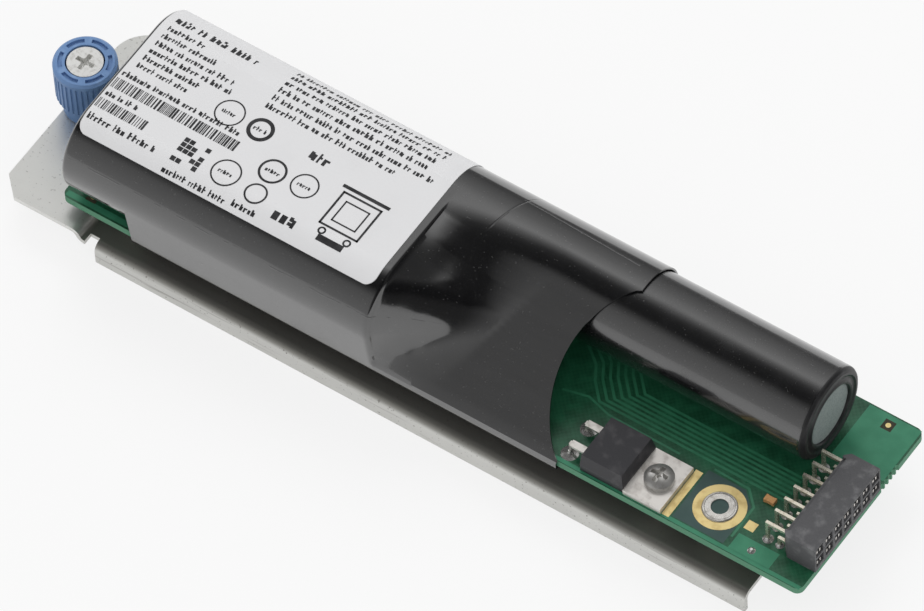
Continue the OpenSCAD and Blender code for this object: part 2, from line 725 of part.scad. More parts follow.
module thumbscrew_screw() color("silver") placed() translate([screw_x, screw_y, 0]) difference() {
    union() {
        translate([0, 0, knob_top - head_sink - head_h]) cylinder(r = head_r, h = head_h);
        translate([0, 0, knob_z]) cylinder(r = shank_r, h = knob_h - head_sink - head_h + eps);
        translate([0, 0, thread_top - eps]) cylinder(r = neck_r, h = knob_z - thread_top + 2 * eps);
        translate([0, 0, tip_z + 0.5]) cylinder(r = thread_r, h = thread_top - tip_z - 0.5);
        translate([0, 0, tip_z]) cylinder(r1 = thread_r - 0.5, r2 = thread_r, h = 0.5);
    }
    translate([0, 0, knob_top - head_sink]) cross_recess(1.9, 1.2);
}

module retaining_washer() color("white") placed()
    translate([screw_x, screw_y, thread_top + slip / 2]) difference() {
        cylinder(r = washer_r, h = washer_t);
        translate([0, 0, -1]) cylinder(r = neck_r + slip, h = washer_t + 2);
    }

mounting_bracket();
board_standoffs();
circuit_board();
cell_front();
cell_back_left();
cell_back_right();
cell_wrap_front();
cell_wrap_back();
end_sleeve();
insulator_rings();
end_disc();
positive_strip();
negative_strip();
end_strip();
foam_pads();
cell_spacer();
main_sleeve();
label();
connector_housing();
contacts_upper();
contacts_lower();
resistor_body();
resistor_flag();
resistor_leads();
resistor_screw();
resistor_nut();
chip_capacitor();
thumbscrew_knob();
thumbscrew_screw();
retaining_washer();
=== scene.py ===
"""Looks of a battery module for a disk-array controller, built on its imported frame.

The module is three cells under black shrink sleeve on a long circuit board, carried by a
folded steel bracket with a captive thumbscrew. Every class below makes or dresses one
sub-assembly. Sizes are in millimetres from the board's front left top corner unless a
docstring says otherwise; meshes are written in metres of the row frame.
"""

import logging
import math
import random
from collections.abc import Iterable, Sequence
from dataclasses import dataclass, field
from enum import Enum
from typing import Any

import bmesh
import bpy
import numpy as np
from mathutils import Matrix, Vector, noise


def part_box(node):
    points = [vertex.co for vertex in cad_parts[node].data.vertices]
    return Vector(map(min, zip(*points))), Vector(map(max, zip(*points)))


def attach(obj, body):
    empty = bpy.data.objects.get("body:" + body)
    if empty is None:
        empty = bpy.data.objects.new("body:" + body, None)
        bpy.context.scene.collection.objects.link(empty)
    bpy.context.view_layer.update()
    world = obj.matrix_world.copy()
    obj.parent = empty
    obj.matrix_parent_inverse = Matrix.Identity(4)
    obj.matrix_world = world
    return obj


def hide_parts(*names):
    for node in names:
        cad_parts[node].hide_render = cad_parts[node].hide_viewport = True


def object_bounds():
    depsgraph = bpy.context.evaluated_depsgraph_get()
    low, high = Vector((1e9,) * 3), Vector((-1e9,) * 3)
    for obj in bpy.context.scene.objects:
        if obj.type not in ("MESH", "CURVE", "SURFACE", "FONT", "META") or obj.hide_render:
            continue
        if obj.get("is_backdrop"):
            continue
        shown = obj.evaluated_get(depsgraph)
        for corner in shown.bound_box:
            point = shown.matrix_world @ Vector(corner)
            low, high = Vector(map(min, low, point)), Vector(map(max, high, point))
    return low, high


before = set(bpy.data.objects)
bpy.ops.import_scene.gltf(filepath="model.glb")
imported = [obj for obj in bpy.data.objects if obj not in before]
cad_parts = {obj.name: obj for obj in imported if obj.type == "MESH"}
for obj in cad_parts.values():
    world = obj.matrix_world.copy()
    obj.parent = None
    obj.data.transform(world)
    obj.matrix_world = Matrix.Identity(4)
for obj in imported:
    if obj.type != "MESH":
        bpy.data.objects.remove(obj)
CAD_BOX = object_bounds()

LOG = logging.getLogger("battery_module")
MM = 0.001
Point = tuple[float, float, float]
Colour = tuple[float, float, float]


# ---- shader arithmetic ----


class Signal:
    """A shader socket that takes part in Python arithmetic."""

    def __init__(self, graph: "Graph", socket: bpy.types.NodeSocket) -> None:
        """Wraps a socket.

        Args:
            graph: the graph that owns the socket's node.
            socket: the output socket.
        """
        self.graph = graph
        self.socket = socket

    def _maths(self, operation: str, *values: Any) -> "Signal":
        """Adds a Math node over values."""
        return self.graph.node("Math", {"operation": operation}, dict(enumerate(values)))

    def __add__(self, other: Any) -> "Signal":
        """Sum."""
        return self._maths("ADD", self, other)

    def __radd__(self, other: Any) -> "Signal":
        """Sum with a number on the left."""
        return self._maths("ADD", other, self)

    def __sub__(self, other: Any) -> "Signal":
        """Difference."""
        return self._maths("SUBTRACT", self, other)

    def __rsub__(self, other: Any) -> "Signal":
        """Difference from a number."""
        return self._maths("SUBTRACT", other, self)

    def __mul__(self, other: Any) -> "Signal":
        """Product."""
        return self._maths("MULTIPLY", self, other)

    def __rmul__(self, other: Any) -> "Signal":
        """Product with a number on the left."""
        return self._maths("MULTIPLY", other, self)

    def __truediv__(self, other: Any) -> "Signal":
        """Quotient."""
        return self._maths("DIVIDE", self, other)

    def clamped(self) -> "Signal":
        """This value held between nought and one."""
        return self.graph.node("Clamp", {}, {0: self})


class Graph:
    """The node tree of one material, world or lamp."""

    def __init__(self, tree: bpy.types.NodeTree) -> None:
        """Clears a tree and keeps it.

        Args:
            tree: the node tree to build in.
        """
        self.tree = tree
        tree.nodes.clear()

    def node(
        self,
        kind: str,
        settings: dict[str, Any] | None = None,
        inputs: dict[int | str, Any] | None = None,
        out: int | str = 0,
    ) -> Signal:
        """Adds a node, sets it up and feeds it.

        Args:
            kind: the node's type without its ShaderNode prefix.
            settings: properties set before the inputs; "stops" fills a colour ramp.
            inputs: a number, colour or Signal for each input socket, by index or name.
            out: the output wanted.

        Returns:
            The chosen output.
        """
        made = self.tree.nodes.new("ShaderNode" + kind)
        for key, value in (settings or {}).items():
            if key == "stops":
                elements = made.color_ramp.elements
                while len(elements) < len(value):
                    elements.new(0.5)
                for element, (place, shade) in zip(elements, value):
                    element.position = place
                    level = (shade,) * 3 if isinstance(shade, (int, float)) else tuple(shade)
                    element.color = (*level, 1.0)
            else:
                setattr(made, key, value)
        for key, value in (inputs or {}).items():
            socket = made.inputs[key]
            if isinstance(value, Signal):
                self.tree.links.new(value.socket, socket)
            elif isinstance(value, tuple) and len(value) == 3 and socket.type == "RGBA":
                socket.default_value = (*value, 1.0)
            else:
                socket.default_value = value
        return Signal(self, made.outputs[out])

    def place(self) -> Signal:
        """The row frame's coordinates in metres, because every object sits at the origin."""
        return self.node("TexCoord", {}, {}, "Object")

    def axis(self, which: str) -> Signal:
        """One coordinate of the place, in millimetres."""
        return self.node("SeparateXYZ", {}, {0: self.place()}, which) * 1000.0

    def facing(self, which: str) -> Signal:
        """One coordinate of the surface's normal."""
        normal = self.node("NewGeometry", {}, {}, "Normal")
        return self.node("SeparateXYZ", {}, {0: normal}, which)

    def grain(self, size_mm: float, detail: float = 3.0, stretch: Point = (1.0, 1.0, 1.0)) -> Signal:
        """Noise with features of a given size.

        Args:
            size_mm: size of a feature, in millimetres.
            detail: octaves.
            stretch: how far the features are drawn out along each axis.

        Returns:
            A value around one half.
        """
        scale = tuple(1000.0 / size_mm / s for s in stretch)
        spot = self.node("VectorMath", {"operation": "MULTIPLY"}, {0: self.place(), 1: scale})
        return self.node("TexNoise", {}, {"Vector": spot, "Scale": 1.0, "Detail": detail})

    def cells(self, size_mm: float) -> Signal:
        """Distance in a Voronoi pattern with cells of a given size."""
        fed = {"Vector": self.place(), "Scale": 1000.0 / size_mm}
        return self.node("TexVoronoi", {}, fed, "Distance")

    def ramp(self, value: Signal, *stops: tuple[float, Any]) -> Signal:
        """A colour ramp over a value."""
        return self.node("ValToRGB", {"stops": stops}, {0: value})

    def step(self, value: Signal, low: float, high: float) -> Signal:
        """A smooth step from nought at low to one at high."""
        return self.node(
            "MapRange",
            {"interpolation_type": "SMOOTHSTEP"},
            {"Value": value, "From Min": low, "From Max": high},
        )

    def blend(self, amount: Any, first: Any, second: Any) -> Signal:
        """A colour between two colours."""
        return self.node("Mix", {"data_type": "RGBA"}, {0: amount, 6: first, 7: second}, 2)

    def bump(self, height: Signal, rise_mm: float, strength: float = 1.0) -> Signal:
        """A bump normal from a height between nought and one.

        Args:
            height: the height.
            rise_mm: what one stands for.
            strength: the bump's strength.

        Returns:
            The normal.
        """
        fed = {"Height": height, "Distance": rise_mm * MM, "Strength": strength}
        return self.node("Bump", {}, fed, "Normal")

    def finish(self, shader: Signal, target: str = "Material") -> None:
        """Links a shader to the tree's output."""
        output = self.tree.nodes.new("ShaderNodeOutput" + target)
        self.tree.links.new(shader.socket, output.inputs["Surface"])


@dataclass(frozen=True)
class Finish:
    """A surface finish; subclasses paint their own pattern."""

    name: str

    def paint(self, g: Graph) -> dict[str, Any]:
        """Returns the Principled inputs of this finish."""
        raise NotImplementedError

    def material(self) -> bpy.types.Material:
        """The finish as a material, made once."""
        found = bpy.data.materials.get("finish_" + self.name)
        if found:
            return found
        made = bpy.data.materials.new("finish_" + self.name)
        made.use_nodes = True
        g = Graph(made.node_tree)
        g.finish(g.node("BsdfPrincipled", {}, self.paint(g)))
        return made


@dataclass(frozen=True)
class ShrinkFilm(Finish):
    """Glossy black shrink film with faint flow lines, dust and soft dents."""

    dull: float = 0.12
    base: Colour = (0.006, 0.006, 0.0065)
    end_dull: float = 0.0

    def creases(self, g: Graph) -> Signal | float:
        """Returns the height of pressed lines, none on plain film."""
        return 0.0

    def paint(self, g: Graph) -> dict[str, Any]:
        """Returns the Principled inputs of this finish."""
        flow = g.grain(2.4, 2.0, (7.0, 1.0, 1.0))
        dents = g.grain(5.0, 1.0, (2.5, 1.0, 1.0))
        dust = g.step(g.grain(0.5, 2.0), 0.66, 0.74)
        ends = g.step(g.facing("X"), 0.55, 0.85)
        height = dents * 0.75 + flow * 0.25 + self.creases(g)
        dusty = g.blend(dust * 0.35, self.base, (0.10, 0.10, 0.098))
        clouds = g.step(g.grain(6.0, 3.0), 0.35, 0.75)
        return {
            "Base Color": dusty,
            "Roughness": self.dull + clouds * 0.09 + dust * 0.15 + ends * self.end_dull,
            "IOR": 1.95,
            "Coat Weight": 1.0,
            "Coat Roughness": 0.08,
            "Normal": g.bump(height, 0.055),
        }


@dataclass(frozen=True)
class SleeveFilm(ShrinkFilm):
    """The main sleeve's film, with the lines pressed in it by the cells' ends and the flattened tube."""

    back_y: float = 9.3
    front_y: float = -11.4
    axis_z: float = 21.93
    joint_x: float = 6.9
    line_start_x: float = 7.4
    line_end_x: float = 33.5

    def creases(self, g: Graph) -> Signal:
        """Returns the height of the pressed lines."""
        x, y, z = (g.axis(name) for name in "XYZ")
        turn = g.node("Math", {"operation": "ARCTAN2"}, {0: y - self.back_y, 1: z - self.axis_z})
        wander = g.grain(9.0, 1.0) * 0.05
        drift = (x - self.line_start_x) * 0.0047
        off_line = g.node("Math", {"operation": "ABSOLUTE"}, {0: turn + drift - 0.5 + wander})
        stop = g.step(x, self.line_end_x - 1.0, self.line_end_x)
        along = g.step(x, self.line_start_x, self.line_start_x + 1.0) * (1.0 - stop)
        line = (1.0 - g.step(off_line, 0.004, 0.022)) * along
        off_ring = g.node("Math", {"operation": "ABSOLUTE"}, {0: x - self.joint_x - turn * 2.6})
        ring = (1.0 - g.step(off_ring, 0.05, 0.26)) * g.step(turn, -0.55, -0.15)
        scuff_turn = g.node("Math", {"operation": "ARCTAN2"}, {0: y - self.front_y, 1: z - self.axis_z})
        off_scuff = g.node("Math", {"operation": "ABSOLUTE"}, {0: scuff_turn + 1.05 + wander * 2.0})
        scuff = (1.0 - g.step(off_scuff, 0.003, 0.016)) * g.step(g.grain(2.5, 2.0), 0.45, 0.6)
        return line * -1.6 + ring * -2.2 + scuff * 0.8


@dataclass(frozen=True)
class ZincSheet(Finish):
    """Zinc-plated sheet steel: pale, cloudy, with rolling streaks along X and dark specks; painted shade
    darkens its sideways faces and the bracket's floor under the board.
    """

    tone: Colour = (0.86, 0.86, 0.83)
    metal: float = 0.85
    under_board_shade: Colour = (0.30, 0.29, 0.26)
    shade_top_z: float = 6.4

    def paint(self, g: Graph) -> dict[str, Any]:
        """Returns the Principled inputs of this finish."""
        cloud = g.grain(9.0, 4.0)
        streak = g.grain(0.7, 3.0, (22.0, 1.0, 1.0))
        specks = g.step(g.grain(0.55, 2.0), 0.64, 0.72)
        side = g.step(g.facing("Z"), 0.25, 0.75)
        # Real specks and rolling streaks, plus painted shade: streaks only on sideways faces and more specks
        # there, so the sideways faces come out darker.
        side_streaks_and_shade = g.step(streak, 0.55, 0.8) * (1.0 - side) * 0.5
        specks_and_side_shade = (specks * (0.35 + (1.0 - side) * 0.5) + side_streaks_and_shade).clamped()
        plain = g.blend(g.step(cloud, 0.3, 0.7), tuple(c * 0.93 for c in self.tone), self.tone)
        # Painted shade: below the board's height the sheet is darkened, most on faces that look up, where the
        # board shades the bracket's floor.
        low = g.step(g.axis("Z"), self.shade_top_z, self.shade_top_z - 0.8)
        shaded_under_board = g.blend(low * (side * 0.65 + 0.2), plain, self.under_board_shade)
        return {
            "Base Color": g.blend(specks_and_side_shade, shaded_under_board, (0.22, 0.20, 0.18)),
            "Metallic": self.metal,
            "Roughness": 0.33 + cloud * 0.16 + specks_and_side_shade * 0.15,
            "Normal": g.bump(streak * 0.5 + g.grain(1.3, 3.0) * 0.5, 0.03),
        }


@dataclass(frozen=True)
class PlatedMetal(Finish):
    """Plated small parts, with a faint brush and tarnish in patches."""

    tone: Colour
    tarnish: Colour
    rough: float = 0.25
    size_mm: float = 1.2
    metal: float = 0.85

    def paint(self, g: Graph) -> dict[str, Any]:
        """Returns the Principled inputs of this finish."""
        patches = g.step(g.grain(self.size_mm, 4.0), 0.45, 0.72)
        fine = g.grain(self.size_mm * 0.18, 2.0)
        return {
            "Base Color": g.blend(patches * 0.6, self.tone, self.tarnish),
            "Metallic": self.metal,
            "Roughness": self.rough + patches * 0.12 + fine * 0.05,
            "Normal": g.bump(fine, 0.004),
        }


@dataclass(frozen=True)
class SolderMask(Finish):
    """Green solder mask over glass epoxy, with bare laminate on the cut edges."""

    tone: Colour = (0.014, 0.105, 0.050)
    deep: Colour = (0.006, 0.058, 0.026)
    edge: Colour = (0.09, 0.27, 0.16)

    def paint(self, g: Graph) -> dict[str, Any]:
        """Returns the Principled inputs of this finish."""
        weave = g.node("TexChecker", {}, {"Vector": g.place(), "Scale": 1900.0}, "Fac")
        mottled = g.grain(3.0, 3.0)
        flat = g.step(g.node("Math", {"operation": "ABSOLUTE"}, {0: g.facing("Z")}), 0.4, 0.8)
        mask = g.blend(g.step(mottled, 0.3, 0.7), self.tone, self.deep)
        woven = g.blend(weave * 0.08, mask, (0.09, 0.24, 0.15))
        return {
            "Base Color": g.blend(flat, self.edge, woven),
            "Roughness": 0.24 + mottled * 0.12 + (1.0 - flat) * 0.3,
            "IOR": 1.5,
            "Normal": g.bump(mottled * 0.5 + weave * 0.5, 0.006),
        }


@dataclass(frozen=True)
class PaintedFlat(Finish):
    """A thin coloured field such as ink, mask over copper or a printed mark."""

    tone: Colour
    other: Colour
    rough: float = 0.4
    size_mm: float = 1.5
    sheen: float = 0.0

    def paint(self, g: Graph) -> dict[str, Any]:
        """Returns the Principled inputs of this finish."""
        patches = g.grain(self.size_mm, 3.0)
        return {
            "Base Color": g.blend(g.step(patches, 0.3, 0.7), self.tone, self.other),
            "Roughness": self.rough + patches * 0.1,
            "Coat Weight": self.sheen,
            "Normal": g.bump(patches, 0.004),
        }


@dataclass(frozen=True)
class Moulding(Finish):
    """Moulded plastic with a sparked skin and rubbed high spots."""

    tone: Colour
    rubbed: Colour
    rough: float = 0.5
    skin_mm: float = 0.22
    relief_mm: float = 0.02

    def paint(self, g: Graph) -> dict[str, Any]:
        """Returns the Principled inputs of this finish."""
        skin = g.grain(self.skin_mm, 2.0)
        wear = g.step(g.grain(2.2, 4.0), 0.48, 0.75)
        return {
            "Base Color": g.blend(wear * 0.6 + skin * 0.25, self.tone, self.rubbed),
            "Roughness": self.rough + skin * 0.12 - wear * 0.06,
            "Normal": g.bump(skin, self.relief_mm),
        }


@dataclass(frozen=True)
class LabelPaper(Finish):
    """Pale coated label stock with fibre and a few grey smudges."""

    tone: Colour = (0.745, 0.745, 0.755)

    def paint(self, g: Graph) -> dict[str, Any]:
        """Returns the Principled inputs of this finish."""
        fibre = g.grain(0.35, 3.0, (2.0, 1.0, 1.0))
        smudge = g.step(g.grain(8.0, 4.0), 0.5, 0.8)
        return {
            "Base Color": g.blend(smudge * 0.25 + fibre * 0.12, self.tone, (0.64, 0.64, 0.65)),
            "Roughness": 0.42 + fibre * 0.1,
            "Normal": g.bump(fibre * 0.4 + g.grain(6.0, 2.0) * 0.6, 0.03),
        }


@dataclass(frozen=True)
class SpeckledFibre(Finish):
    """Fibre board, foam or ceramic: a body colour with fine speckle."""

    tone: Colour
    fleck: Colour
    size_mm: float = 0.3
    rough: float = 0.7

    def paint(self, g: Graph) -> dict[str, Any]:
        """Returns the Principled inputs of this finish."""
        fleck = g.step(g.cells(self.size_mm), 0.2, 0.6)
        cloud = g.grain(self.size_mm * 6.0, 3.0)
        return {
            "Base Color": g.blend(fleck * 0.55 + cloud * 0.3, self.tone, self.fleck),
            "Roughness": self.rough + cloud * 0.1,
            "Normal": g.bump(fleck, 0.02),
        }


class Shop(Enum):
    """The finishes on the shelf, one for each thing that the pieces are made of."""

    SLEEVE = SleeveFilm("black_sleeve")
    END_FILM = ShrinkFilm("end_film", 0.2, (0.005, 0.005, 0.0055), 0.35)
    ROLLED_FILM = Moulding("rolled_film", (0.010, 0.010, 0.011), (0.030, 0.030, 0.032), 0.38, 0.8, 0.02)
    CELL_FILM = ShrinkFilm("cell_film", 0.2, (0.012, 0.013, 0.016))
    ZINC = ZincSheet("zinc_sheet")
    HARDWARE = PlatedMetal("zinc_hardware", (0.80, 0.79, 0.76), (0.45, 0.43, 0.40), 0.28, 0.9)
    HEAD = PlatedMetal("pale_screw_head", (0.86, 0.86, 0.84), (0.60, 0.59, 0.56), 0.42, 0.7, 0.45)
    NICKEL = PlatedMetal("nickel", (0.74, 0.72, 0.68), (0.36, 0.33, 0.29), 0.22)
    TIN = PlatedMetal("tin_plate", (0.80, 0.77, 0.73), (0.48, 0.44, 0.40), 0.3, 2.0, 0.7)
    SOLDER = PlatedMetal("solder", (0.78, 0.77, 0.75), (0.40, 0.38, 0.35), 0.2, 0.6)
    GOLD = PlatedMetal("gold_flash", (0.93, 0.74, 0.34), (0.70, 0.50, 0.20), 0.3, 1.8, 0.7)
    CONTACT = PlatedMetal("contact_plate", (0.86, 0.80, 0.68), (0.55, 0.46, 0.32), 0.24, 0.8)
    CAN = PlatedMetal("cell_can", (0.70, 0.71, 0.72), (0.45, 0.46, 0.47), 0.3, 4.0)
    MASK = SolderMask("green_mask")
    COPPER_UNDER_MASK = PaintedFlat("mask_on_copper", (0.035, 0.185, 0.098), (0.026, 0.150, 0.078), 0.25, 2.0)
    POUR = PaintedFlat("mask_on_pour", (0.040, 0.085, 0.078), (0.030, 0.068, 0.062), 0.3, 4.0)
    # Paler mask: bare laminate near the connector, and also painted light on the lit patches of the board.
    PALE_MASK_AND_PAINTED_LIGHT = PaintedFlat("mask_on_laminate", (0.040, 0.225, 0.125), (0.030, 0.190, 0.104), 0.35, 3.0)
    DARK_WINDOW = PaintedFlat("bare_laminate", (0.030, 0.028, 0.016), (0.050, 0.045, 0.025), 0.5)
    INK = PaintedFlat("label_ink", (0.012, 0.012, 0.014), (0.035, 0.035, 0.038), 0.45)
    PAPER = LabelPaper("label_stock")
    HOUSING = Moulding("connector_moulding", (0.075, 0.075, 0.080), (0.19, 0.19, 0.195), 0.55, 0.3, 0.05)
    EPOXY = Moulding("resistor_moulding", (0.022, 0.022, 0.026), (0.060, 0.058, 0.062), 0.42, 0.3, 0.015)
    BLUE = Moulding("blue_moulding", (0.140, 0.260, 0.500), (0.230, 0.365, 0.600), 0.45, 0.5, 0.01)
    NYLON = Moulding("white_nylon", (0.70, 0.70, 0.66), (0.80, 0.80, 0.77), 0.5)
    DISC = SpeckledFibre("grey_disc", (0.150, 0.180, 0.178), (0.26, 0.30, 0.29), 0.35, 0.55)
    PAPER_RING = SpeckledFibre("paper_ring", (0.45, 0.36, 0.20), (0.60, 0.50, 0.32), 0.4)
    FOAM = SpeckledFibre("dark_foam", (0.020, 0.020, 0.021), (0.05, 0.05, 0.05), 0.5, 0.9)
    TAN = SpeckledFibre("tan_ceramic", (0.50, 0.24, 0.085), (0.64, 0.36, 0.15), 0.3, 0.5)

    def material(self) -> bpy.types.Material:
        """The finish's material."""
        return self.value.material()


# ---- meshes ----


class Body(Enum):
    """The frame's bodies."""

    MODULE = "module"
    SCREW = "thumbscrew"
    CARRIER = "screw_carrier"


@dataclass
class Datum:
    """The board's front left top corner and the cells' axes, read from the frame, in millimetres."""

    corner: Vector = field(init=False)
    axis_z: float = field(init=False)
    front_y: float = field(init=False)
    back_y: float = field(init=False)

    def __post_init__(self) -> None:
        """Reads the boxes of the board and of the cells."""
        low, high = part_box("circuit_board")
        self.corner = Vector((low.x, low.y, high.z)) / MM
        front_low, front_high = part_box("cell_wrap_front")
        self.axis_z = (front_low.z + front_high.z) / 2 / MM - self.corner.z
        self.front_y = (front_low.y + front_high.y) / 2 / MM - self.corner.y
        back_low, back_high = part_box("end_sleeve")
        self.back_y = (back_low.y + back_high.y) / 2 / MM - self.corner.y

    def frame(self, spot: Sequence[float]) -> Vector:
        """A spot in board millimetres as a point of the row frame in metres."""
        return (Vector(spot) + self.corner) * MM


@dataclass
class Workshop:
    """Casts pieces given in board millimetres and dresses the frame's own nodes."""

    datum: Datum

    def cast(
        self,
        name: str,
        spots: Iterable[Sequence[float]],
        faces: Iterable[Sequence[int]],
        finish: Shop,
        body: Body = Body.MODULE,
        crease_deg: float = 40.0,
        instead_of: Sequence[str] = (),
    ) -> bpy.types.Object:
        """Makes a piece from corners and faces.

        Args:
            name: the piece's name.
            spots: corners in board millimetres.
            faces: corner numbers of each face.
            finish: what it is made of.
            body: the body that it rides on.
            crease_deg: edges sharper than this stay sharp.
            instead_of: nodes of the frame that it stands for.

        Returns:
            The new object.
        """
        mesh = bpy.data.meshes.new(name)
        mesh.from_pydata([self.datum.frame(s) for s in spots], [], [tuple(f) for f in faces])
        mesh.validate()
        mesh.shade_smooth()
        mesh.set_sharp_from_angle(angle=math.radians(crease_deg))
        mesh.materials.append(finish.material())
        made = bpy.data.objects.new(name, mesh)
        bpy.context.scene.collection.objects.link(made)
        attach(made, body.value)
        if instead_of:
            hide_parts(*instead_of)
        LOG.info("%s: %d faces of %s", name, len(mesh.polygons), finish.value.name)
        return made

    def dress(self, finish: Shop, *nodes: str) -> None:
        """Gives nodes of the frame their finish.

        Args:
            finish: what they are made of.
            nodes: their names.
        """
        for node in nodes:
            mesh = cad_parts[node].data
            mesh.materials.clear()
            mesh.materials.append(finish.material())
            LOG.info("%s dressed in %s", node, finish.value.name)


@dataclass
class Patchwork:
    """Gathers thin raised patches into one mesh."""

    spots: list[Point] = field(default_factory=list)
    faces: list[tuple[int, ...]] = field(default_factory=list)

    def patch(self, outline: Sequence[Point]) -> None:
        """Adds a face round an outline.

        Args:
            outline: the face's corners in order.
        """
        start = len(self.spots)
        self.spots.extend(outline)
        self.faces.append(tuple(range(start, start + len(outline))))

    def band(self, inner: Sequence[Point], outer: Sequence[Point], closed: bool = True) -> None:
        """Adds a strip of quads between two lines of spots.

        Args:
            inner: the first line.
            outer: the second, with as many spots.
            closed: whether the strip joins its own start.
        """
        start, count = len(self.spots), len(inner)
        self.spots.extend(inner)
        self.spots.extend(outer)
        for i in range(count if closed else count - 1):
            j = (i + 1) % count
            self.faces.append((start + i, start + count + i, start + count + j, start + j))


def box_outline(x0: float, x1: float, y0: float, y1: float) -> list[tuple[float, float]]:
    """Corners of a rectangle, counter-clockwise."""
    return [(x0, y0), (x1, y0), (x1, y1), (x0, y1)]


def circle(x: float, y: float, radius: float, count: int = 40) -> list[tuple[float, float]]:
    """Corners of a round about a point.

    Args:
        x: the middle's first coordinate.
        y: its second.
        radius: the round's radius.
        count: how many corners.

    Returns:
        The corners in order.
    """
    turn = 2 * math.pi / count
    return [(x + radius * math.cos(i * turn), y + radius * math.sin(i * turn)) for i in range(count)]


# ---- sub-assemblies ----


